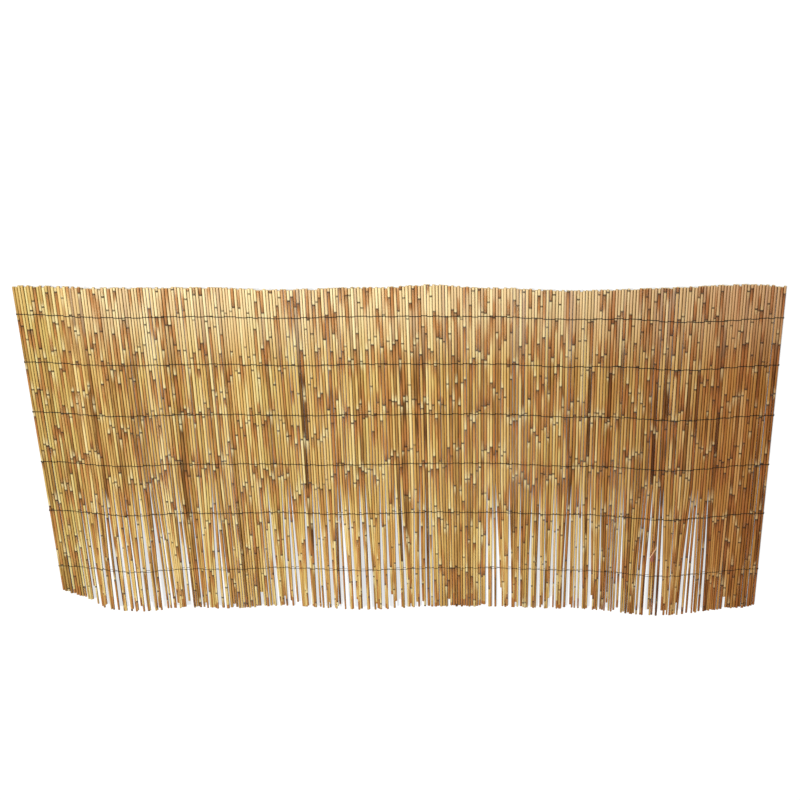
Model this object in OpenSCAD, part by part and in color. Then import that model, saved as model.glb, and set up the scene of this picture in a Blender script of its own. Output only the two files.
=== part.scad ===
/* [Mat] */
// Length of the unrolled mat, measured along its waves
mat_length = 2120; // [900:10:3000]
// Height of the mat, which is the length of a full reed
mat_height = 1025; // [900:5:1400]

/* [Reeds] */
// Diameter of an average reed at its thick upper end
reed_d = 7.45; // [5.5:0.05:10]
// Difference between the thickest and the thinnest reed
reed_d_spread = 1.3; // [0:0.1:2]
// Share of its diameter that a reed loses by its lower end, where the mat is open
taper = 0.34; // [0.1:0.01:0.4]
// Share of its diameter that a reed loses by its lower end, where the mat is dense
dense_taper = 0.06; // [0.02:0.01:0.1]
// How far down the mat the reeds start to thin faster, as a share of its height
knee = 0.58; // [0.4:0.01:0.7]
// Gap between two reeds of one bundle, from the upper edge down to where they thin faster
reed_gap = 0.3; // [0.3:0.05:1]
// Most that the middles of the reeds lie over or under the middle of the mat
lift_spread = 0.4; // [0:0.1:0.8]
// Most that an ordinary reed ends short of the edges of the mat
end_slip = 5; // [0:0.5:10]
// Share of the reeds that were cut short at the lower edge
short_share = 0.06; // [0:0.01:0.2]
// Most that a short reed falls behind the lower edge
short_by = 60; // [10:1:80]

/* [Bundles] */
// Fewest reeds between two twists of the wires
bundle_min = 2; // [2:1:3]
// Most reeds between two twists of the wires
bundle_max = 4; // [3:1:5]
// How far a bundle slips sideways at the lower edge, as a share of its free room
bundle_slip = 0.4; // [0:0.05:0.45]

/* [Wires] */
// Thickness of one wire strand
wire_d = 1.5; // [1.2:0.1:2.4]
// Clearance between a strand and the reeds that it goes round
wire_clearance = 0.1; // [0.1:0.05:0.4]
// Gap between the two strands of a row where they cross
strand_gap = 0.2; // [0.1:0.05:0.6]
// Distance from the upper edge to the first row of wire
top_margin = 83; // [50:1:100]
// Distance from the first row to the second
row_gap_1 = 141; // [100:1:170]
// Distance from the second row to the third
row_gap_2 = 154; // [100:1:185]
// Distance from the third row to the fourth
row_gap_3 = 157; // [100:1:190]
// Distance from the fourth row to the fifth
row_gap_4 = 161; // [100:1:195]
// Distance from the fifth row to the sixth
row_gap_5 = 191; // [100:1:220]

/* [Lie] */
// Height of the tallest wave that stays in the mat after it was rolled
wave_rise = 46; // [8:1:54]
// How much further the reeds reach at the upper edge where they reach furthest
upper_reach = 20; // [0:1:30]
// Height that the lower left corner is cut back by
left_cut = 50; // [0:1:60]
// Width of the cut at the lower left corner
left_cut_run = 130; // [40:1:160]
// Radius of the rounded lower right corner
right_round = 24; // [10:1:60]

/* [Hidden] */

// One wave a line: its place at the upper and at the lower edge and its half width, as shares of
// the length, then its height at the upper and at the lower edge, as shares of the tallest
waves = [
  [0.12, 0.11, 0.10, 0.46, 0.78],
  [0.20, 0.23, 0.09, 0.26, 0.37],
  [0.34, 0.43, 0.12, 0.48, 0.44],
  [0.72, 0.71, 0.10, 0.44, 0.22],
  [0.87, 0.85, 0.13, 0.78, 1.00]
];
// One swell of the upper edge a line: its place and its half width, as shares of the length, then
// its reach, as a share of the furthest
upper_swells = [[0.14, 0.13, 0.15], [0.54, 0.07, 0.4], [0.91, 0.16, 1]];
// One dense stretch a line: its place and its half width, as shares of the length
dense_stretches = [[0, 0.06], [0.27, 0.06], [0.57, 0.07], [1, 0.13]];
// Nodes that the reeds are shared out over, and the flat sides of one reed
reed_sections = 12;
reed_sides = 8;
// Share of its loss in diameter that a reed has where it starts to thin faster
knee_part = 0.2;
// Lowest and highest factor on how much a reed keeps of its diameter
kept_low = 0.9;
kept_high = 1.04;
// Least part of the full distance that a short reed falls behind the edge
short_least = 0.4;
// How the cut at the lower left corner curves: 1 is straight, and less than 1 bulges outwards
left_cut_curve = 0.8;
// Seeds of the random draws
thickness_seed = 11;
bundle_seed = 23;
taper_seed = 37;
slip_seed = 41;
full_seed = 47;
upper_end_seed = 53;
lower_end_seed = 59;
short_seed = 61;
upper_lift_seed = 71;
lower_lift_seed = 73;
reed_colors = ["goldenrod", "khaki", "darkkhaki", "peru"];
wire_color = "darkslategray";
upper_edge = 0;
lower_edge = 1;

// Sum of a list, and a smooth hill that is 1 at 0 and 0 from 1 on
function total(list) = len(list) == 0 ? 0 : list * [for (v = list) 1];
function hill(t) = abs(t) < 1 ? (1 + cos(180 * t)) / 2 : 0;
function unit(v) = v / norm(v);
function side_of(v) = [-v[1], v[0]];

// Reeds and bundles in the order of the mat, more than are needed
bundle_room = ceil(mat_length / (bundle_min * (reed_d - reed_d_spread / 2)));
reed_room = bundle_room * bundle_max;
thickness_draws = rands(-0.5, 0.5, reed_room, thickness_seed);
upper_r = [for (v = thickness_draws) (reed_d + v * reed_d_spread) / 2];
bundle_draws = rands(bundle_min, bundle_max + 1, bundle_room, bundle_seed);
bundle_sizes = [for (v = bundle_draws) min(floor(v), bundle_max)];
first_reeds = [for (b = 0, i = 0; b < bundle_room; i = i + bundle_sizes[b], b = b + 1) i];
function members(b) = [first_reeds[b] : first_reeds[b] + bundle_sizes[b] - 1];
function last_reed(b) = first_reeds[b] + bundle_sizes[b] - 1;
bundle_widths = [for (b = [0 : bundle_room - 1])
  total([for (i = members(b)) 2 * upper_r[i]]) + (bundle_sizes[b] - 1) * reed_gap];

// As many bundles as the length holds, with room for a strand to pass between two of them
least_pass = wire_d + 2 * wire_clearance;
far_sides = [for (b = 0, s = bundle_widths[0]; b < bundle_room - 1;
  b = b + 1, s = s + least_pass + bundle_widths[b]) s];
bundle_count = len([for (s = far_sides) if (s <= mat_length) 1]);
used_widths = [for (b = [0 : bundle_count - 1]) bundle_widths[b]];
pass_gap = (mat_length - total(used_widths)) / (bundle_count - 1);
near_sides = [for (b = 0, s = 0; b < bundle_count; s = s + bundle_widths[b] + pass_gap, b = b + 1) s];
reed_count = first_reeds[bundle_count];

// How much of its diameter a reed keeps down to its lower end
function openness(share) = 1 - max([for (d = dense_stretches) hill((share - d[0]) / d[1])]);
function bundle_middle(b) = near_sides[b] + bundle_widths[b] / 2;
function bundle_taper(b) = dense_taper + (taper - dense_taper) * openness(bundle_middle(b) / mat_length);
kept_draws = rands(kept_low, kept_high, reed_room, taper_seed);
lower_r = [for (b = [0 : bundle_count - 1]) for (i = members(b))
  upper_r[i] * min((1 - bundle_taper(b)) * kept_draws[i], 1 - dense_taper)];

// Places along the upper edge and along the lower edge, measured on the mat itself
upper_arc = [for (b = [0 : bundle_count - 1]) for (i = members(b))
  near_sides[b] + upper_r[i] + total([for (j = members(b)) if (j < i) 2 * upper_r[j] + reed_gap])];
function lower_step(i) =
  upper_r[i] + upper_r[i + 1] + reed_gap
  - knee_part / knee * (upper_r[i] - lower_r[i] + upper_r[i + 1] - lower_r[i + 1]);
function lower_run(b, i) = total([for (j = members(b)) if (j < i) lower_step(j)]);
slips = rands(-bundle_slip, bundle_slip, bundle_room, slip_seed);
lower_arc = [for (b = [0 : bundle_count - 1])
  let (f = first_reeds[b],
    l = last_reed(b),
    width = lower_r[f] + lower_run(b, l) + lower_r[l],
    start = bundle_middle(b) - width / 2 + slips[b] * (bundle_widths[b] - width))
  for (i = members(b)) start + lower_r[f] + lower_run(b, i)];

// Height of the waves along an edge, and where a place on the mat comes in plan
half_step = 0.5;
function wave_z(x, edge) = wave_rise * total([for (w = waves)
  w[3 + edge] * hill((x / mat_length - w[edge]) / w[2])]);
function wave_slope(x, edge) = (wave_z(x + half_step, edge) - wave_z(x - half_step, edge)) / (2 * half_step);
function wave_run(x, edge) = cos(atan(wave_slope(x, edge)));
function plan(arc, edge) = [for (i = 0, x = arc[0]; i < len(arc);
  x = x + (arc[min(i + 1, len(arc) - 1)] - arc[i]) * wave_run(x, edge), i = i + 1) x];
upper_x = plan(upper_arc, upper_edge);
lower_x = plan(lower_arc, lower_edge);
upper_lifts = rands(-lift_spread, lift_spread, reed_room, upper_lift_seed);
lower_lifts = rands(-lift_spread, lift_spread, reed_room, lower_lift_seed);
upper_z = [for (i = [0 : reed_count - 1]) wave_z(upper_x[i], upper_edge) + upper_lifts[i]];
lower_z = [for (i = [0 : reed_count - 1]) wave_z(lower_x[i], lower_edge) + lower_lifts[i]];

// Centre and radius of a reed at a height y over the lower edge, the centre as [x, z]
function reed_at(i, y) = let (t = 1 - y / mat_height)
  [upper_x[i] + (lower_x[i] - upper_x[i]) * t, upper_z[i] + (lower_z[i] - upper_z[i]) * t];
function loss_at(t) =
  t < knee ? knee_part * t / knee : knee_part + (1 - knee_part) * (t - knee) / (1 - knee);
function reed_r_at(i, y) = upper_r[i] + (lower_r[i] - upper_r[i]) * loss_at(1 - y / mat_height);
knee_y = mat_height * (1 - knee);

// The edges of the mat, with the cut back and the rounded corner, and where each reed was cut.
// One reed of each bundle reaches both edges, and some of the others were cut short
function left_corner(s) = s < left_cut_run ? left_cut * pow(1 - s / left_cut_run, left_cut_curve) : 0;
function right_corner(s) = let (d = right_round - (mat_length - s))
  d > 0 ? right_round - sqrt(max(right_round * right_round - d * d, 0)) : 0;
function reach_at(s) = upper_reach * total([for (w = upper_swells)
  w[2] * hill((s / mat_length - w[0]) / w[1])]);
full_draws = rands(0, 1, bundle_room, full_seed);
function full_reed(b) = first_reeds[b] + floor(full_draws[b] * bundle_sizes[b]);
full_marks = [for (b = [0 : bundle_count - 1]) for (i = members(b)) i == full_reed(b)];
upper_slips = rands(0, end_slip, reed_room, upper_end_seed);
lower_slips = rands(0, end_slip, reed_room, lower_end_seed);
short_draws = rands(0, 1, reed_room, short_seed);
function short_part(i) = short_draws[i] < short_share
  ? short_least + (1 - short_least) * short_draws[i] / short_share
  : 0;
function upper_end(i) = mat_height + reach_at(upper_arc[i]) - (full_marks[i] ? 0 : upper_slips[i]);
function lower_end(i) = left_corner(lower_arc[i]) + right_corner(lower_arc[i])
  + (full_marks[i] ? 0 : lower_slips[i] + short_by * short_part(i));

// Rows of wire, as distances from the line of the upper edge without its swells
row_drops = [top_margin,
  top_margin + row_gap_1,
  top_margin + row_gap_1 + row_gap_2,
  top_margin + row_gap_1 + row_gap_2 + row_gap_3,
  top_margin + row_gap_1 + row_gap_2 + row_gap_3 + row_gap_4,
  top_margin + row_gap_1 + row_gap_2 + row_gap_3 + row_gap_4 + row_gap_5];
upper_strand = 0;
lower_strand = 1;
strand_step = (wire_d + strand_gap) / 2;
function strand_y(row, strand) =
  mat_height - row_drops[row] + (strand == upper_strand ? strand_step : -strand_step);

// A strand goes over one bundle and under the next. Its middle line keeps to an eighth of a turn
// round the outer reeds of a bundle and runs straight over the reeds between them
eighth = tan(22.5);
function wrap_r(i, y) = reed_r_at(i, y) + wire_clearance + wire_d / 2;
function bundle_path(b, y, s) = let (
    f = first_reeds[b],
    l = last_reed(b),
    cf = reed_at(f, y),
    cl = reed_at(l, y),
    along = unit(cl - cf),
    up = s * side_of(along),
    near = b > 0 ? unit(cf - reed_at(f - 1, y)) : along,
    far = b < bundle_count - 1 ? unit(reed_at(l + 1, y) - cl) : along,
    rise = max([for (i = members(b)) (reed_at(i, y) - cf) * up + wrap_r(i, y)]),
    rf = wrap_r(f, y),
    rl = wrap_r(l, y))
  [cf + rf * (s * eighth * side_of(near) - near),
   cf + rise * up - eighth * rf * along,
   cl + rise * up + eighth * rl * along,
   cl + rl * (s * eighth * side_of(far) + far)];
// The hook that an end of a strand makes round the outermost reed, towards its other side
function end_hook(i, next, y, s) = let (
    c = reed_at(i, y),
    out = unit(c - reed_at(next, y)),
    r = wrap_r(i, y))
  [c + r * (out - s * eighth * side_of(out)), c + r * (eighth * out - s * side_of(out))];
function side_at(b, strand) = (b + strand) % 2 == 0 ? 1 : -1;
function strand_path(row, strand) = let (
    y = strand_y(row, strand),
    start = end_hook(0, 1, y, -side_at(0, strand)),
    end = end_hook(reed_count - 1, reed_count - 2, y, side_at(bundle_count - 1, strand)))
  concat([start[1], start[0]],
    [for (b = [0 : bundle_count - 1]) each bundle_path(b, y, side_at(b, strand))],
    end);

// Outline of a band of the given thickness along a path, with mitred corners
function corner_offset(path, i) = let (
    before = unit(path[max(i, 1)] - path[max(i, 1) - 1]),
    after = unit(path[min(i, len(path) - 2) + 1] - path[min(i, len(path) - 2)]),
    middle = unit(side_of(before) + side_of(after)))
  middle / (middle * side_of(before));
function band(path, thickness) = concat(
  [for (i = [0 : len(path) - 1]) path[i] + thickness / 2 * corner_offset(path, i)],
  [for (i = [len(path) - 1 : -1 : 0]) path[i] - thickness / 2 * corner_offset(path, i)]);

// The mat lies on its lowest strand, and its middle is at the origin
strand_points = [for (row = [0 : len(row_drops) - 1]) for (strand = [upper_strand, lower_strand])
  each strand_path(row, strand)];
lowest = min([for (p = strand_points) p[1]]) - wire_d / 2;
middle_x = (min([for (p = strand_points) p[0]]) + max([for (p = strand_points) p[0]])) / 2;
middle_y = (max([for (i = [0 : reed_count - 1]) upper_end(i)])
  + min([for (i = [0 : reed_count - 1]) lower_end(i)])) / 2;

module laid() {
  translate([-middle_x, -middle_y, -lowest])
    children();
}

// A solid through rings square to the reeds, each ring as [height over the lower edge, centre, radius]
module loft(rings) {
  points = [for (ring = rings) for (k = [0 : reed_sides - 1]) let (a = 360 * k / reed_sides)
    [ring[1][0] + ring[2] * cos(a), ring[0], ring[1][1] + ring[2] * sin(a)]];
  sides = [for (j = [0 : len(rings) - 2]) for (k = [0 : reed_sides - 1])
    let (n = (k + 1) % reed_sides, low = j * reed_sides, high = low + reed_sides)
    [low + k, high + k, high + n, low + n]];
  low_end = [for (k = [0 : reed_sides - 1]) k];
  high_end = [for (k = [reed_sides - 1 : -1 : 0]) (len(rings) - 1) * reed_sides + k];
  polyhedron(points, concat(sides, [low_end, high_end]));
}

// One straight reed between its two cut ends. It thins slowly down to the knee and faster below it
module reed(i) {
  loft([for (y = [lower_end(i), knee_y, upper_end(i)]) [y, reed_at(i, y), reed_r_at(i, y)]]);
}

// The bundles of one section of the mat
module reeds(section) {
  first = round(bundle_count * (section - 1) / reed_sections);
  last = round(bundle_count * section / reed_sections) - 1;
  laid()
    for (b = [first : last])
      for (i = members(b))
        color(reed_colors[i % len(reed_colors)])
          reed(i);
}

// One strand of a row, made whole from end to end
module wire(row, strand) {
  color(wire_color)
    laid()
      translate([0, strand_y(row - 1, strand) + wire_d / 2, 0])
        rotate([90, 0, 0])
          linear_extrude(height = wire_d)
            polygon(band(strand_path(row - 1, strand), wire_d));
}

reeds(1);  // reeds_01
reeds(2);  // reeds_02
reeds(3);  // reeds_03
reeds(4);  // reeds_04
reeds(5);  // reeds_05
reeds(6);  // reeds_06
reeds(7);  // reeds_07
reeds(8);  // reeds_08
reeds(9);  // reeds_09
reeds(10);  // reeds_10
reeds(11);  // reeds_11
reeds(12);  // reeds_12
wire(1, upper_strand);  // wire_1_upper
wire(1, lower_strand);  // wire_1_lower
wire(2, upper_strand);  // wire_2_upper
wire(2, lower_strand);  // wire_2_lower
wire(3, upper_strand);  // wire_3_upper
wire(3, lower_strand);  // wire_3_lower
wire(4, upper_strand);  // wire_4_upper
wire(4, lower_strand);  // wire_4_lower
wire(5, upper_strand);  // wire_5_upper
wire(5, lower_strand);  // wire_5_lower
wire(6, upper_strand);  // wire_6_upper
wire(6, lower_strand);  // wire_6_lower
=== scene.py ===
import math
import random

import bmesh
import bpy
from mathutils import Matrix, Vector, noise


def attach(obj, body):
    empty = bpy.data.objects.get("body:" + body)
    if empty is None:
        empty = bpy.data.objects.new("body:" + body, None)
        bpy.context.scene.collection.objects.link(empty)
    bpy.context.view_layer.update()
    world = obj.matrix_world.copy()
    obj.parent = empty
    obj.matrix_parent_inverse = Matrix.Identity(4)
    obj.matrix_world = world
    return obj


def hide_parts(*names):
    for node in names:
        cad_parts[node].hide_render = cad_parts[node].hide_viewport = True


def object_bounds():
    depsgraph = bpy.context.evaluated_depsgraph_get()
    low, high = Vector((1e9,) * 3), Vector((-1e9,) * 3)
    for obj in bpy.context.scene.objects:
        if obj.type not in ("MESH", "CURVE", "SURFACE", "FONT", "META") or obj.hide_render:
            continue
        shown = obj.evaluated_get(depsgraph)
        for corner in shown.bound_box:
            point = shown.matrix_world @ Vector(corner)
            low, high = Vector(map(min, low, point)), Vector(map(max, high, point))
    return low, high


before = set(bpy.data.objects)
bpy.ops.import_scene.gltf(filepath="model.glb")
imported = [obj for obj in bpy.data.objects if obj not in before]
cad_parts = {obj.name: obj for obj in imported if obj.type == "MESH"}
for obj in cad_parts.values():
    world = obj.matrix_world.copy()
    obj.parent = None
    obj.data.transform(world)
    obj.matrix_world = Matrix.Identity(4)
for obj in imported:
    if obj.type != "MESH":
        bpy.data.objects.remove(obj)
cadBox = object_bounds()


class Shade:
    # wraps a shader output, so that shader maths reads as plain expressions
    def __init__(self, tree, link=None):
        self.tree = tree
        self.link = link

    def node(self, kind, settings={}, values={}, output=0):
        # any node: its settings first, then the values or links of its sockets
        made = self.tree.nodes.new(kind)
        for name, value in settings.items():
            if name == "stops":
                ramp = made.color_ramp
                while len(ramp.elements) < len(value):
                    ramp.elements.new(0.5)
                for element, (place, colour) in zip(ramp.elements, value):
                    element.position = place
                    element.color = (*colour, 1)
            else:
                setattr(made, name, value)
        for name, value in values.items():
            socket = made.inputs[name]
            if isinstance(value, Shade):
                self.tree.links.new(value.link, socket)
            elif socket.type == "RGBA":
                socket.default_value = (*value, 1)
            else:
                socket.default_value = value
        return Shade(self.tree, made.outputs[output])

    def maths(self, operation, *others):
        return self.node("ShaderNodeMath", {"operation": operation}, dict(enumerate((self, *others))))

    def turned(self, operation, other):
        # the same with this value last
        return self.node("ShaderNodeMath", {"operation": operation}, {0: other, 1: self})

    def __add__(self, other):
        return self.maths("ADD", other)

    def __radd__(self, other):
        return self.turned("ADD", other)

    def __sub__(self, other):
        return self.maths("SUBTRACT", other)

    def __rsub__(self, other):
        return self.turned("SUBTRACT", other)

    def __mul__(self, other):
        return self.maths("MULTIPLY", other)

    def __rmul__(self, other):
        return self.turned("MULTIPLY", other)

    def __truediv__(self, other):
        return self.maths("DIVIDE", other)

    def __rtruediv__(self, other):
        return self.turned("DIVIDE", other)

    def fade(self, first, last):
        # 1 at the first value, falling smoothly to 0 at the last
        return self.node("ShaderNodeMapRange", {"interpolation_type": "SMOOTHSTEP"},
                         {"Value": self, "From Min": first, "From Max": last, "To Min": 1.0, "To Max": 0.0})

    def split(self):
        made = self.node("ShaderNodeSeparateXYZ", {}, {0: self}).link.node
        return [Shade(self.tree, output) for output in made.outputs]

    def attribute(self, name):
        return self.node("ShaderNodeAttribute", {"attribute_name": name}, output="Vector").split()

    def objectPlace(self):
        return self.node("ShaderNodeTexCoord", output="Object")

    def mix(self, factor, first, second, blend="MIX"):
        return self.node("ShaderNodeMix", {"data_type": "RGBA", "blend_type": blend},
                         {0: factor, 6: first, 7: second}, 2)

    def grain(self, place, density, detail):
        # noise on a place, with its own number of waves in a metre along each axis
        dense = self.node("ShaderNodeVectorMath", {"operation": "MULTIPLY"}, {0: place, 1: density})
        return self.node("ShaderNodeTexNoise", {}, {"Vector": dense, "Scale": 1.0, "Detail": detail})

    def bump(self, height):
        # a surface that is raised by so many metres
        return self.node("ShaderNodeBump", {}, {"Strength": 1.0, "Distance": 1.0, "Height": height})


def newMaterial(name):
    material = bpy.data.materials.new(name)
    material.use_nodes = True
    material.node_tree.nodes.clear()
    return material, Shade(material.node_tree)


def setSurface(shade, surface):
    output = shade.tree.nodes.new("ShaderNodeOutputMaterial")
    shade.tree.links.new(surface.link, output.inputs["Surface"])


def startRing(shape, sides, turn=Matrix()):
    # a closed end face, and the ring of edges round it that is to be extruded
    verts = bmesh.ops.create_circle(shape, segments=sides, radius=1, matrix=turn)["verts"]
    edges = list({edge for vert in verts for edge in vert.link_edges})
    shape.faces.new(verts)
    return verts, edges


def nextRing(shape, edges):
    grown = bmesh.ops.extrude_edge_only(shape, edges=edges)["geom"]
    verts = [item for item in grown if isinstance(item, bmesh.types.BMVert)]
    return verts, [item for item in grown if isinstance(item, bmesh.types.BMEdge)]


def addPiece(name, shape, material, replaced=()):
    mesh = bpy.data.meshes.new(name)
    shape.to_mesh(mesh)
    shape.free()
    piece = bpy.data.objects.new(name, mesh)
    bpy.context.scene.collection.objects.link(piece)
    mesh.materials.append(material)
    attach(piece, "root")
    if replaced:
        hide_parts(*replaced)


# camera
cameraSettings = {
    "place": (0.3281, 1.6237, 3.2777),
    "tilt": -23.994,       # degrees from straight down
    "roll": 0.25,
    "lens": 56.9,
    "sensor": 36,
    "shift": -0.14875,
    "reach": 50,
}


def addCamera(settings):
    data = bpy.data.cameras.new("camera")
    data.lens = settings["lens"]
    data.sensor_width = settings["sensor"]
    data.shift_x = settings["shift"]
    data.clip_end = settings["reach"]
    camera = bpy.data.objects.new("camera", data)
    camera.location = settings["place"]
    turn = Matrix.Rotation(math.radians(settings["tilt"]), 3, "X") @ Matrix.Rotation(
        math.radians(settings["roll"]), 3, "Z")
    camera.rotation_euler = turn.to_euler()
    bpy.context.scene.collection.objects.link(camera)
    bpy.context.scene.camera = camera


addCamera(cameraSettings)
print("camera ready")

# reeds
reedShape = {
    "sides": 8,
    "spacing": (0.135, 0.215),   # from one joint of the stem to the next
    "drift": 1.7,                # how many joint spacings the joints climb across the mat
    "driftWave": 6,              # and in how many waves
    "driftOwn": 0.2,             # share of a spacing that a stem's joints stray by themselves
    "clear": 0.01,               # no joint lies nearer to an end than this
    "tipDown": 0.6,              # share of the reeds whose thin end is at the lower edge
    "lowerEdge": -0.52,
    "width": 0.12,               # most that a stem is wider or narrower than its solid
    "lossWindow": 3,             # stems on each side whose loss of girth says how open the mat is
    "shut": 0.86,                # where lower ends keep this share of the girth, the mat is shut
    "open": 0.72,                # and where they keep only this share, it is fully open
    "upperWindow": 4,            # stems on each side that share out the gaps, at the upper end
    "lowerWindow": 5,            # and at the lower end
    "steady": 9,                 # stems on each side over which the mat keeps its place
    "closed": 0.56,              # share of the gaps at the lower end that are shut
    "opened": (0.8, 4.4),        # how wide the others are, as a share of the mean gap
    "settled": 1.35,             # how soon a stem has its lower place, on its way from the knee
    "tipGirth": 0.25,            # how much wider the thin ends are than their solids
    "shortShare": 0.16,          # share of the thin ends that fall a little short
    "shortTaper": 0.8,           # a stem that keeps more of its girth than this isn't one of them
    "shortBy": (0.0052, 0.026),
    "sway": 0.0016,              # how far the stems stray sideways, all those of a place together
    "swayWaves": (7, 2.4),       # waves in a metre, across the mat and along it
    "swayEnd": 1.04,             # half the length inside which the stems sway
    "swayRun": 0.1,
    "ownSway": 0.00012,          # how far each strays by itself
    "bore": 0.58,                # hollow's radius, as a share of the stem's
    "boreBottom": 0.92,          # and at its bottom, as a share of that
    "boreDepth": 0.02,
    "rim": 0.9,                  # radius of the flat cut, as a share of the stem's
    "rounding": 0.0005,
    "seed": 19,
}
reedTones = {
    "tone": 0.52,                # place on the ramp of stem colours
    "toneShared": 0.1,           # how far the stems of a place stray from it together
    "toneWave": 9,
    "toneOwn": 0.36,             # and each by itself
    "olive": 0.05,
    "oliveShared": 0.3,
    "oliveWave": 3,
    "oliveOwn": 0.4,
    "leftEdge": -0.93,           # the stems beyond it are greener
    "leftOlive": 0.45,
    "tan": (-0.8, 0.6),          # from and to, where less than 0 is none
    "tanAndShadeSlope": 0.25,            # more for each metre to the right, which darkens the mat there: partly browner stems, partly painted shade
    "rightEdge": 0.8,            # the stems beyond it are browner and darker, partly painted shade
    "rightRun": 0.1,
    "rightTanAndShade": 0.5,
}
reedFinish = {
    "stems": [(0.0, (0.10, 0.037, 0.009)), (0.25, (0.37, 0.180, 0.044)), (0.5, (0.65, 0.40, 0.118)),
              (0.75, (0.77, 0.54, 0.185)), (1.0, (0.86, 0.68, 0.32))],
    "olive": (0.84, 0.89, 0.78),
    "tan": (0.86, 0.69, 0.56),
    "pale": (0.84, 0.72, 0.38),
    # painted glare near the upper edge, with paler upper ends
    "paleTopAndGlare": (0.91, 0.76, 0.51),
    "sheath": (0.46, 0.185, 0.045),
    "sheathDark": (0.16, 0.058, 0.018),
    # painted shade on the flanks and undersides of the stems
    "flankShade": (0.08, 0.045, 0.03),
    # darker towards the right: partly painted shade, partly darker tone
    "rightShadeAndTone": (0.64, 0.51, 0.44),
    "joint": (0.035, 0.018, 0.010),
    "cut": (0.70, 0.54, 0.28),
    # painted shade deep in the bore
    "boreShade": (0.06, 0.035, 0.015),
    "tintGain": 1.4,                # how strongly olive and tan tint a stem
    "byLength": 0.4,                # how much the tone changes from one joint to the next
    "byMottle": 0.6,
    "byFibre": 0.4,
    "sheathShare": 0.56,            # share of the lengths that keep their brown skin past the joint
    "sheathLength": (0.03, 0.12),   # shortest, and how much is added at most
    "sheathFade": (0.45, 1.0),
    "olderShare": 0.12,             # share with brown skin before the joint
    "olderLength": 0.09,
    "tipLength": 0.05,              # most brown skin at the lower tip, on every second stem
    "tipFade": 0.003,
    "paleLength": (0.01, 0.05),     # pale stretch past a joint: shortest, and how much is added at most
    "paleBefore": (0.01, 0.04),     # and before the next one
    "paleInk": 0.85,
    "fray": 0.05,                   # how unevenly these stretches end
    "jointWidth": (0.0014, 0.0036),
    "jointInk": (0.45, 0.5),        # weakest, and how much is added at most
    "upperEdge": 0.5,
    "paleTopAndGlareRun": (0.04, 0.27),    # painted glare with paler upper ends, from the upper edge down
    "paleTopAndGlareEnd": (-0.99, -0.8),   # none beyond it, at the left
    "paleTopAndGlareShare": 0.35,
    "paleTopAndGlareTone": 0.15,
    "flankShadeFade": (0.26, 0.78),      # painted shade on the flanks: how far a place faces up, from fully dark to none
    "rightShadeAndToneRun": (0.0, 1.05),    # darker from the middle of the mat to the right: partly painted shade, partly darker tone
    "fibreRelief": 0.00008,
    "jointRelief": 0.00025,
    "sheathRelief": 0.00012,
    "roughness": 0.42,
    "gloss": 0.22,
}


def readReeds(mesh):
    # the rings of each solid reed of a node, as (middle, radius), from its lower to its upper end
    shape = bmesh.new()
    shape.from_mesh(mesh)
    bmesh.ops.remove_doubles(shape, verts=shape.verts, dist=1e-6)
    waiting = set(shape.verts)
    reeds = []
    while waiting:
        island = [waiting.pop()]
        for vert in island:
            for edge in vert.link_edges:
                other = edge.other_vert(vert)
                if other in waiting:
                    waiting.remove(other)
                    island.append(other)
        # sorted along all three axes, so that the sums below come out the same in each run
        places = sorted((vert.co.copy() for vert in island), key=lambda place: (place.y, place.x, place.z))
        count = len(places) // 3
        rings = []
        for k in range(0, 3 * count, count):
            middle = sum(places[k:k + count], Vector()) / count
            radius = sum((place - middle).length for place in places[k:k + count]) / count
            rings.append((middle, radius))
        reeds.append(rings)
    shape.free()
    return sorted(reeds, key=lambda rings: rings[0][0].x)


def alongReed(rings, y):
    # middle and radius of a solid reed at a place along it
    low, knee, high = rings
    first, last = (low, knee) if y < knee[0].y else (knee, high)
    share = (y - first[0].y) / (last[0].y - first[0].y)
    return first[0].lerp(last[0], share), first[1] + (last[1] - first[1]) * share


def evened(values, window):
    # each value's mean with its neighbours
    means = []
    for k in range(len(values)):
        near = values[max(0, k - window):k + window + 1]
        means.append(sum(near) / len(near))
    return means


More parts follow.
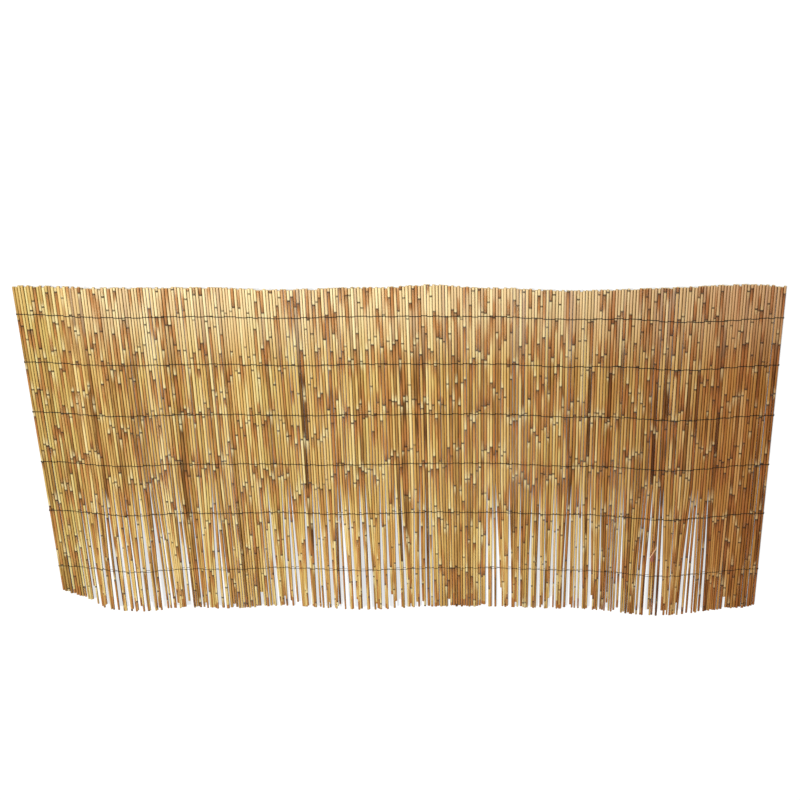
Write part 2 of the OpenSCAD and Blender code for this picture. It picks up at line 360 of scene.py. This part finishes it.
def layStems(reeds, rng):
    # shares out the gaps between the stems, evenly at the upper end and at the knee, and by chance at the
    # lower end where the mat is open: a shift and a factor on the width for each stem and ring
    settings = reedShape
    kept = evened([rings[0][1] / rings[2][1] for rings in reeds], settings["lossWindow"])
    openness = [max(0, min(1, (settings["shut"] - share) / (settings["shut"] - settings["open"]))) for share in kept]
    widths = [1 + rng.uniform(-1, 1) * settings["width"] for rings in reeds]
    laid = [[] for rings in reeds]
    for ring in range(3):
        ends = [alongReed(rings, settings["lowerEdge"]) if ring == 0 else rings[ring] for rings in reeds]
        steps = [(after[0] - before[0]).length for before, after in zip(ends, ends[1:])]
        radii = [radius * width for (middle, radius), width in zip(ends, widths)]
        gaps = [step - before - after for step, before, after in zip(steps, radii, radii[1:])]
        if ring == 0:
            gaps = evened(gaps, settings["lowerWindow"])
            for k in range(len(gaps)):
                opened = 0 if rng.random() < settings["closed"] else rng.uniform(*settings["opened"])
                gaps[k] = max(gaps[k], 0) * (1 + (opened - 1) * openness[k])
        else:
            gaps = evened(gaps, settings["upperWindow"])
        places, drift = [0], [0]
        for k, step in enumerate(steps):
            places.append(places[-1] + step)
            drift.append(drift[-1] + radii[k] + gaps[k] + radii[k + 1] - step)
        drift = [own - common for own, common in zip(drift, evened(drift, settings["steady"]))]
        spots = [place + own for place, own in zip(places, drift)]
        # the room of a stem reaches to the middle of the gap on each side of it
        bounds = [(spots[k] + radii[k] + spots[k + 1] - radii[k + 1]) / 2 for k in range(len(steps))]
        bounds = [spots[0] - radii[0]] + bounds + [spots[-1] + radii[-1]]
        for k, (middle, radius) in enumerate(ends):
            before, after = max(k - 1, 0), min(k + 1, len(ends) - 1)
            row = (ends[after][0] - ends[before][0]).normalized()
            fill = 1 if ring else 1 - openness[k]
            shift = drift[k] + ((bounds[k] + bounds[k + 1]) / 2 - spots[k]) * fill
            wide = radii[k] + ((bounds[k + 1] - bounds[k]) / 2 - radii[k]) * fill
            if ring == 0:
                wide *= 1 + settings["tipGirth"] * openness[k]
            laid[k].append((row * shift, wide / radius))
    return laid


def alongLay(rings, lay, y):
    # how far a stem lies beside the straight solid at a place along it, and how much wider it is
    settings = reedShape
    knee, high = rings[1][0].y, rings[2][0].y
    if y < knee:
        first, last = lay[1], lay[0]
        share = min(1, settings["settled"] * (knee - y) / (knee - settings["lowerEdge"]))
    else:
        first, last = lay[1], lay[2]
        share = (y - knee) / (high - knee)
    across = rings[1][0].x
    steady = max(0, min(1, (settings["swayEnd"] - abs(across)) / settings["swayRun"]))
    waves = settings["swayWaves"]
    sway = settings["sway"] * noise.noise(Vector((across * waves[0], y * waves[1], 7)))
    shift = first[0].lerp(last[0], share) * min(1, steady * 3) + Vector((sway * steady, 0, 0))
    return shift, first[1] + (last[1] - first[1]) * share


def stemTones(across, rng):
    # tone, olive tint and tan tint of a stem at its place across the mat
    tones = reedTones
    tone = tones["tone"] + tones["toneShared"] * noise.noise(Vector((across * tones["toneWave"], 0, 1)))
    tone += rng.uniform(-1, 1) * tones["toneOwn"]
    olive = tones["olive"] + tones["oliveShared"] * noise.noise(Vector((across * tones["oliveWave"], 2, 0)))
    olive = max(0, olive + rng.uniform(-1, 1) * tones["oliveOwn"])
    # the tan grows towards the right: partly browner stems, partly painted shade
    tan = max(0, rng.uniform(*tones["tan"]) + tones["tanAndShadeSlope"] * across)
    if across < tones["leftEdge"]:
        olive += tones["leftOlive"]
    if across > tones["rightEdge"]:
        tan += tones["rightTanAndShade"] * min((across - tones["rightEdge"]) / tones["rightRun"], 1)
    return tone, olive, tan


def growReed(shape, layers, rings, lay, rng):
    # a ring that is extruded from the bottom of the lower hollow to the bottom of the upper one
    settings = reedShape
    low, high = rings[0][0].y, rings[2][0].y
    if rng.random() < settings["shortShare"] and rings[0][1] < settings["shortTaper"] * rings[2][1]:
        low += rng.uniform(*settings["shortBy"])
    across = rings[0][0].x
    spacing = rng.uniform(*settings["spacing"])
    climb = across * settings["drift"] + noise.noise(Vector((across * settings["driftWave"], 0, 4)))
    climb += rng.uniform(-1, 1) * settings["driftOwn"]
    start = climb % 1 * spacing
    way = -1 if rng.random() < settings["tipDown"] else 1
    tones = stemTones(across, rng)
    clear = settings["clear"]
    joints = [y for y in (start + spacing * k for k in range(-5, 6)) if low + clear < y < high - clear]
    bore, bottom, rim = settings["bore"], settings["bore"] * settings["boreBottom"], settings["rim"]
    depth, rounding = settings["boreDepth"], settings["rounding"]
    # place, share of the radius, own sway, cut, painted shade deep in the bore
    stations = [(low + depth, bottom, 0, 0, 1), (low, bore, 0, 1, 0), (low, rim, 0, 1, 0), (low + rounding, 1, 0, 0, 0)]
    stations += sorted([(y, 1, rng.uniform(-1, 1) * settings["ownSway"], 0, 0) for y in joints]
                       + [(rings[1][0].y, 1, 0, 0, 0)])
    stations += [(high - rounding, 1, 0, 0, 0), (high, rim, 0, 1, 0), (high, bore, 0, 1, 0),
                 (high - depth, bottom, 0, 0, 1)]
    turn = Matrix.Rotation(math.radians(90), 4, "X") @ Matrix.Rotation(rng.uniform(0, 1), 4, "Z")
    identity = rng.random()
    verts, edges = startRing(shape, settings["sides"], turn)
    middle, radius, wide = Vector(), 1, 1
    for k, (y, share, own, cut, boreShade) in enumerate(stations):
        if k:
            verts, edges = nextRing(shape, edges)
        newMiddle, newRadius = alongReed(rings, y)
        shift, newWide = alongLay(rings, lay, y)
        newMiddle = newMiddle + shift + Vector((own, 0, 0))
        newRadius *= share
        for vert in verts:
            offset = (vert.co - middle) / radius
            offset.x *= newWide / wide
            vert.co = newMiddle + offset * newRadius
            vert[layers["cut"]] = (cut, boreShade, y - low, 1)
            vert[layers["tone"]] = (*tones, 1)
            vert[layers["stem"]] = (start, spacing, way, 1)
            # the last of these says how far a place faces up, which the material uses for painted shade on the flanks
            vert[layers["grain"]] = (identity, across, offset.z, 1)
        middle, radius, wide = newMiddle, newRadius, newWide
    bmesh.ops.contextual_create(shape, geom=edges)


def reedMaterial(finish):
    material, shade = newMaterial("reedSkin")
    place = shade.objectPlace()
    along = place.split()[1]
    tone, olive, tan = shade.attribute("reedTone")
    start, spacing, way = shade.attribute("reedStem")
    identity, across, upward = shade.attribute("reedGrain")
    cut, boreShade, fromEnd = shade.attribute("reedCut")

    # which length between two joints this is, and how far it is past the joint and before the next
    steps = (along - start) / spacing * way
    length = steps.maths("FLOOR")
    past = (steps - length) * spacing
    before = spacing - past

    def drawn(spread, offset):
        # three random numbers for each length of each stem
        seed = shade.node("ShaderNodeCombineXYZ", {}, {0: identity * spread, 1: length, 2: offset})
        return shade.node("ShaderNodeTexWhiteNoise", {}, {"Vector": seed}, "Color").split()

    chance, other = drawn(97.0, 0.5), drawn(53.0, 7.5)
    fibres = shade.grain(place, (900, 14, 900), 3.0)
    mottle = shade.grain(place, (160, 9, 160), 2.0)
    frayed = (mottle - 0.5) * finish["fray"]

    # the brown skin left past a joint, before one or at the lower tip
    hasSheath = chance[0].maths("LESS_THAN", finish["sheathShare"])
    shortest, added = finish["sheathLength"]
    sheath = ((past + frayed) / (chance[1] * added + shortest)).fade(*finish["sheathFade"]) * hasSheath
    hasOlder = chance[2].maths("LESS_THAN", finish["olderShare"])
    older = (before + frayed).fade(0.0, finish["olderLength"]) * hasOlder
    tipBrown = (identity * 31.7).maths("FRACT") * (2 * finish["tipLength"]) - finish["tipLength"]
    atTip = (fromEnd + frayed * 0.3).fade(tipBrown, tipBrown + finish["tipFade"])
    skin = sheath.maths("MAXIMUM", older).maths("MAXIMUM", atTip)

    # the pale stem beside it
    shortest, added = finish["paleLength"]
    pale = (past + frayed).fade(0.002, other[0] * added + shortest) * (1 - hasSheath) * other[1]
    shortest, added = finish["paleBefore"]
    paleBefore = (before + frayed).fade(0.002, other[2] * added + shortest) * hasSheath * (1 - hasOlder)
    pale = pale.maths("MAXIMUM", paleBefore * 0.8)

    # the dark line at a joint
    ring = past.maths("MINIMUM", before).fade(*finish["jointWidth"])
    weakest, added = finish["jointInk"]
    ringInk = ring * (other[1] * added + weakest)

    # lighter and paler towards the upper edge: painted glare, with paler upper ends
    paleTopAndGlare = (finish["upperEdge"] - along).fade(*finish["paleTopAndGlareRun"]) * (1 - across.fade(*finish["paleTopAndGlareEnd"]))
    value = tone + (other[0] - 0.5) * finish["byLength"] + paleTopAndGlare * finish["paleTopAndGlareTone"]
    value = value + (mottle - 0.5) * finish["byMottle"] + (fibres - 0.5) * finish["byFibre"]
    colour = shade.node("ShaderNodeValToRGB", {"stops": finish["stems"]}, {0: value})
    for tint, name in ((olive, "olive"), (tan, "tan")):
        colour = shade.mix((tint * finish["tintGain"]).maths("MINIMUM", 1.0), colour, finish[name], "MULTIPLY")
    colour = shade.mix(paleTopAndGlare * finish["paleTopAndGlareShare"], colour, finish["paleTopAndGlare"])
    colour = shade.mix(pale * finish["paleInk"], colour, finish["pale"])
    bark = shade.mix(past.fade(0.0, 0.03) * 0.7 + (fibres - 0.5) * 0.5, finish["sheath"], finish["sheathDark"])
    colour = shade.mix(skin * (mottle * 0.6 + 0.6), colour, bark)
    # painted shade: the flanks and undersides of the stems are darker the less they face up
    colour = shade.mix(upward.fade(*finish["flankShadeFade"]), colour, finish["flankShade"], "MULTIPLY")
    # darker towards the right, partly painted shade
    colour = shade.mix(1 - across.fade(*finish["rightShadeAndToneRun"]), colour, finish["rightShadeAndTone"], "MULTIPLY")
    colour = shade.mix(ringInk, colour, finish["joint"])
    colour = shade.mix(cut, colour, finish["cut"])
    # painted shade: the bore is darker towards its bottom
    colour = shade.mix(boreShade, colour, finish["boreShade"])

    bump = shade.bump(fibres * finish["fibreRelief"] + ring * finish["jointRelief"] + skin * finish["sheathRelief"])
    roughness = finish["roughness"] + skin * 0.2 + (mottle - 0.5) * 0.2 + cut * 0.35
    setSurface(shade, shade.node("ShaderNodeBsdfPrincipled", {}, {
        "Base Color": colour, "Roughness": roughness, "Normal": bump, "IOR": 1.5,
        "Specular IOR Level": finish["gloss"]}))
    return material


rng = random.Random(reedShape["seed"])
reedSkin = reedMaterial(reedFinish)
sections = [readReeds(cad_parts[f"reeds_{number:02d}"].data) for number in range(1, 13)]
allReeds = [rings for section in sections for rings in section]
allLays = layStems(allReeds, rng)
lays = iter(allLays)
for number, section in enumerate(sections, 1):
    stems = bmesh.new()
    layers = {part: stems.verts.layers.float_color.new(name) for part, name in
              (("tone", "reedTone"), ("stem", "reedStem"), ("grain", "reedGrain"), ("cut", "reedCut"))}
    for rings in section:
        growReed(stems, layers, rings, next(lays), rng)
    bmesh.ops.recalc_face_normals(stems, faces=stems.faces)
    for face in stems.faces:
        face.smooth = len(face.verts) == 4
    addPiece(f"stems_{number:02d}", stems, reedSkin, [f"reeds_{number:02d}"])
print("reeds ready")

# wires
wireShape = {
    "diameter": (0.0022, 0.0022, 0.0022, 0.0021, 0.0021, 0.0014),   # row by row
    "wander": 0.0016,      # how far a row strays along the reeds
    "wanderWave": 7,
    "smoothness": 2,       # steps from one point of the line to the next
    "roundness": 1,
}
wireFinish = {
    "coat": (0.004, 0.006, 0.004),
    "worn": (0.020, 0.025, 0.016),
    "grain": 180,
    "relief": 0.00015,
    "gloss": 0.2,
}


def readWire(mesh):
    # the middle line of a wire, from the outline of its flat side
    shape = bmesh.new()
    shape.from_mesh(mesh)
    bmesh.ops.remove_doubles(shape, verts=shape.verts, dist=1e-6)
    side = {face for face in shape.faces if face.normal.y > 0.99}
    outline = {edge for face in side for edge in face.edges if sum(near in side for near in edge.link_faces) == 1}
    ends = sorted(outline, key=lambda edge: edge.calc_length())[:2]
    back = sum(vert.co.y for vert in ends[0].verts) / 2
    front = min(vert.co.y for vert in shape.verts)
    pair = list(ends[0].verts)
    line = []
    used = {ends[0]}
    while True:
        line.append((pair[0].co + pair[1].co) / 2)
        following = []
        for vert in pair:
            edge = next((edge for edge in vert.link_edges if edge in outline and edge not in used), None)
            if edge:
                following.append((edge, edge.other_vert(vert)))
        if len(following) < 2 or following[0][0] is following[1][0]:
            break
        used.update(edge for edge, vert in following)
        pair = [vert for edge, vert in following]
    for point in line:
        point.y = (back + front) / 2
    shape.free()
    return line


def wireMaterial(finish):
    material, shade = newMaterial("coatedWire")
    place = shade.objectPlace()
    wear = shade.grain(place, (finish["grain"],) * 3, 3.0)
    colour = shade.mix(wear.fade(0.5, 0.7), finish["worn"], finish["coat"])
    setSurface(shade, shade.node("ShaderNodeBsdfPrincipled", {}, {
        "Base Color": colour, "Roughness": wear * 0.3 + 0.4, "Normal": shade.bump(wear * finish["relief"]),
        "Specular IOR Level": finish["gloss"]}))
    return material


def layWire(name, row, material):
    # a round wire along the middle line of its solid, moved with the stems that it goes round
    line = readWire(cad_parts[name].data)
    data = bpy.data.curves.new(name, "CURVE")
    data.dimensions = "3D"
    half = wireShape["diameter"][row - 1] / 2
    data.bevel_depth = half
    data.bevel_resolution = wireShape["roundness"]
    data.use_fill_caps = True
    spline = data.splines.new("NURBS")
    spline.points.add(len(line) - 1)
    low, high = cadBox
    for point, place in zip(spline.points, line):
        rings, lay = min(zip(allReeds, allLays), key=lambda reed: abs(alongReed(reed[0], place.y)[0].x - place.x))
        place = place + alongLay(rings, lay, place.y)[0]
        place.y += wireShape["wander"] * noise.noise(Vector((place.x * wireShape["wanderWave"], row * 5, 0)))
        place.x = max(low[0] + half, min(high[0] - half, place.x))
        place.z = max(low[2] + half, place.z)
        point.co = (*place, 1)
    spline.order_u = 3
    spline.use_endpoint_u = True
    spline.resolution_u = wireShape["smoothness"]
    run = bpy.data.objects.new("run", data)
    bpy.context.scene.collection.objects.link(run)
    bpy.context.view_layer.update()
    shape = bmesh.new()
    shape.from_mesh(run.to_mesh())
    run.to_mesh_clear()
    bpy.data.objects.remove(run)
    bmesh.ops.remove_doubles(shape, verts=shape.verts, dist=1e-6)
    bmesh.ops.recalc_face_normals(shape, faces=shape.faces)
    for face in shape.faces:
        face.smooth = True
    addPiece(name.replace("wire", "strand"), shape, material, [name])


coatedWire = wireMaterial(wireFinish)
for row in range(1, 7):
    for strand in ("upper", "lower"):
        layWire(f"wire_{row}_{strand}", row, coatedWire)
print("wires ready")

# a scrap of leaf sheath and a strand of fibre that lie on the stems
scrapShape = {
    "halfThickness": 0.0004,
    "reach": 0.012,        # how far to the side a stem still carries it
    "headroom": 0.0005,    # under the top of the frame's box
}
scraps = {
    "leafEdge": {"path": [(0.7357, -0.282), (0.730, -0.294), (0.721, -0.312), (0.7155, -0.3226)],
                 "breadths": (0.0012, 0.0026, 0.0030, 0.0036), "lift": 0.0024, "colour": (0.78, 0.44, 0.23)},
    "leafScrap": {"path": [(0.728, -0.3073), (0.7235, -0.3225), (0.7225, -0.333)],
                  "breadths": (0.0012, 0.0085, 0.0115), "lift": 0.001, "colour": (0.33, 0.10, 0.055)},
    "fibre": {"path": [(-0.2085, -0.211), (-0.2050, -0.215), (-0.2018, -0.220), (-0.198, -0.2239), (-0.1947, -0.2195),
                       (-0.1936, -0.211), (-0.194, -0.204)],
              "breadths": (0.0008, 0.0018, 0.0024, 0.0026, 0.0024, 0.0018, 0.0008), "lift": 0.0016,
              "colour": (0.76, 0.57, 0.33)},
}


def scrapMaterial(name, colour):
    material, shade = newMaterial(name)
    veins = shade.grain(shade.objectPlace(), (700, 120, 120), 3.0)
    mixed = shade.mix(veins.fade(0.35, 0.6) * 0.5, colour, [part * 0.45 for part in colour])
    setSurface(shade, shade.node("ShaderNodeBsdfPrincipled", {}, {"Base Color": mixed, "Roughness": 0.6}))
    return material


def layScrap(settings):
    # a closed strip with a thin lens as its section, just above the highest stem at each place
    shape = bmesh.new()
    path = []
    for x, y in settings["path"]:
        near = [alongReed(rings, y) for rings in allReeds]
        top = max(middle.z + radius for middle, radius in near if abs(middle.x - x) < scrapShape["reach"])
        path.append(Vector((x, y, min(top + settings["lift"], cadBox[1][2] - scrapShape["headroom"]))))
    verts, edges = startRing(shape, 4)
    middle, side, rise = Vector(), Vector((1, 0, 0)), Vector((0, 1, 0))
    for k, breadth in enumerate(settings["breadths"]):
        if k:
            verts, edges = nextRing(shape, edges)
        run = path[min(k + 1, len(path) - 1)] - path[max(k - 1, 0)]
        newSide = run.cross(Vector((0, 0, 1))).normalized() * breadth / 2
        newRise = Vector((0, 0, scrapShape["halfThickness"]))
        for vert in verts:
            offset = vert.co - middle
            vert.co = (path[k] + newSide * offset.dot(side) / side.length_squared
                       + newRise * offset.dot(rise) / rise.length_squared)
        middle, side, rise = path[k], newSide, newRise
    bmesh.ops.contextual_create(shape, geom=edges)
    bmesh.ops.recalc_face_normals(shape, faces=shape.faces)
    return shape


for name, settings in scraps.items():
    addPiece(name, layScrap(settings), scrapMaterial(name + "Skin", settings["colour"]))
print("scraps ready")

# floor, lights and backdrop
stageSettings = {
    "floorSize": 30,
    "floorColour": (0.80, 0.80, 0.80),
    "floorGlow": 0.6,       # share of the floor that only the camera and reflections see, as plain white
    "white": 1.2,
    "sky": 0.26,
    "sun": 2.95,
    "sunSpread": 8,
    "sunFrom": (-0.45, 0.3, 1.0),
    "lamp": 10,
    "lampSize": 1.2,
    "lampPlace": (-0.5, 1.5, 1.2),
    "lampAim": (-0.2, 0.35, 0),
}


def addStage(settings):
    material, shade = newMaterial("paleFloor")
    rays = [shade.node("ShaderNodeLightPath", output=name) for name in
            ("Is Camera Ray", "Is Glossy Ray", "Is Transmission Ray")]
    seen = rays[0].maths("MAXIMUM", rays[1]).maths("MAXIMUM", rays[2])
    plain = shade.node("ShaderNodeBsdfDiffuse", {}, {"Color": settings["floorColour"]})
    white = shade.node("ShaderNodeEmission", {}, {"Color": (1, 1, 1), "Strength": settings["white"]})
    setSurface(shade, shade.node("ShaderNodeMixShader", {}, {0: seen * settings["floorGlow"], 1: plain, 2: white}))
    shape = bmesh.new()
    bmesh.ops.create_grid(shape, x_segments=1, y_segments=1, size=settings["floorSize"])
    mesh = bpy.data.meshes.new("floor")
    shape.to_mesh(mesh)
    shape.free()
    mesh.materials.append(material)
    floor = bpy.data.objects.new("floor", mesh)
    bpy.context.scene.collection.objects.link(floor)

    world = bpy.data.worlds.new("studio")
    world.use_nodes = True
    background = world.node_tree.nodes["Background"]
    background.inputs["Color"].default_value = (1, 1, 1, 1)
    background.inputs["Strength"].default_value = settings["sky"]
    bpy.context.scene.world = world

    sun = bpy.data.lights.new("key", "SUN")
    sun.energy = settings["sun"]
    sun.angle = math.radians(settings["sunSpread"])
    key = bpy.data.objects.new("key", sun)
    key.rotation_euler = Vector(settings["sunFrom"]).to_track_quat("Z", "Y").to_euler()
    bpy.context.scene.collection.objects.link(key)

    # a soft lamp beyond the upper edge, whose light falls off down the mat
    area = bpy.data.lights.new("soft", "AREA")
    area.energy = settings["lamp"]
    area.size = settings["lampSize"]
    soft = bpy.data.objects.new("soft", area)
    soft.location = settings["lampPlace"]
    away = Vector(settings["lampPlace"]) - Vector(settings["lampAim"])
    soft.rotation_euler = away.to_track_quat("Z", "Y").to_euler()
    bpy.context.scene.collection.objects.link(soft)
    bpy.context.scene.view_settings.view_transform = "Standard"


addStage(stageSettings)
print("stage ready")
